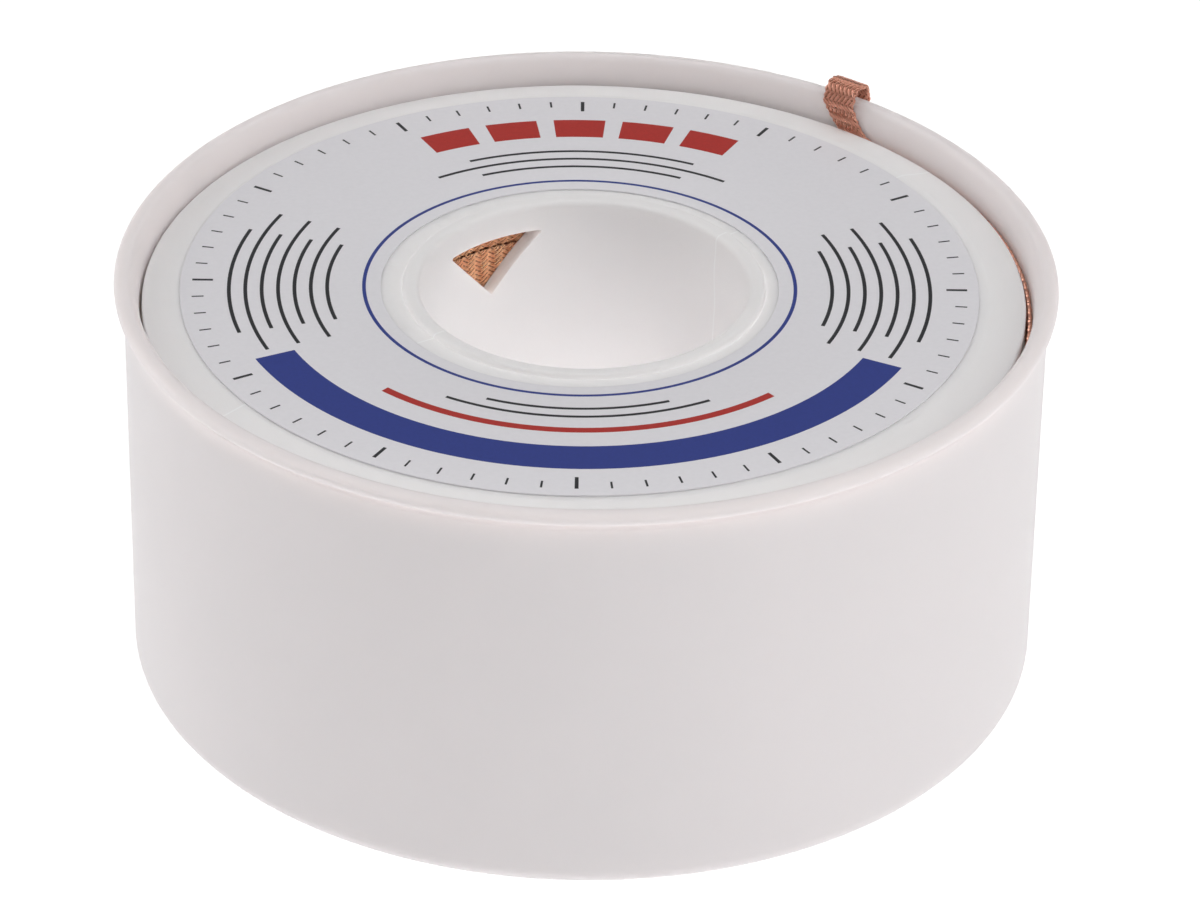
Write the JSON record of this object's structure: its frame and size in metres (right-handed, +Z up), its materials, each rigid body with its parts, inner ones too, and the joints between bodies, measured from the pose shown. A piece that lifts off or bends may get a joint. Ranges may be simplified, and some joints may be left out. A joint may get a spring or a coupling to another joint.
{
  "type": "desoldering braid reel",
  "caption": "Round white case holding a flanged spool wound with flat copper desoldering braid; open hub, ring label, and the braid's end hooked over the rim.",
  "frame": {"origin": "centre of the case's underside, on the surface it stands on", "axes": "+Z up along the case's axis, towards the open rim; the braid's end lies over the rim between +X and +Y"},
  "size_m": [0.0636, 0.0636, 0.0303],
  "materials": {
    "white_plastic": "moulded, faintly translucent, satin",
    "white_spool_plastic": "moulded, satin",
    "grey_white_label": "coated label stock",
    "copper_braid": "fine bare copper wire, plaited flat"
  },
  "bodies": {
    "holder": {"case": "white_plastic", "braid_tail": "copper_braid"},
    "reel": {"spool": "white_spool_plastic", "label": "grey_white_label", "braid_winding": "copper_braid"}
  },
  "joints": [
    {"name": "spool_spin", "type": "hinge", "parent": "holder", "child": "reel", "pos_m": [-0.00015, 0, 0.014], "axis": [0, 0, 1], "continuous": true}
  ]
}
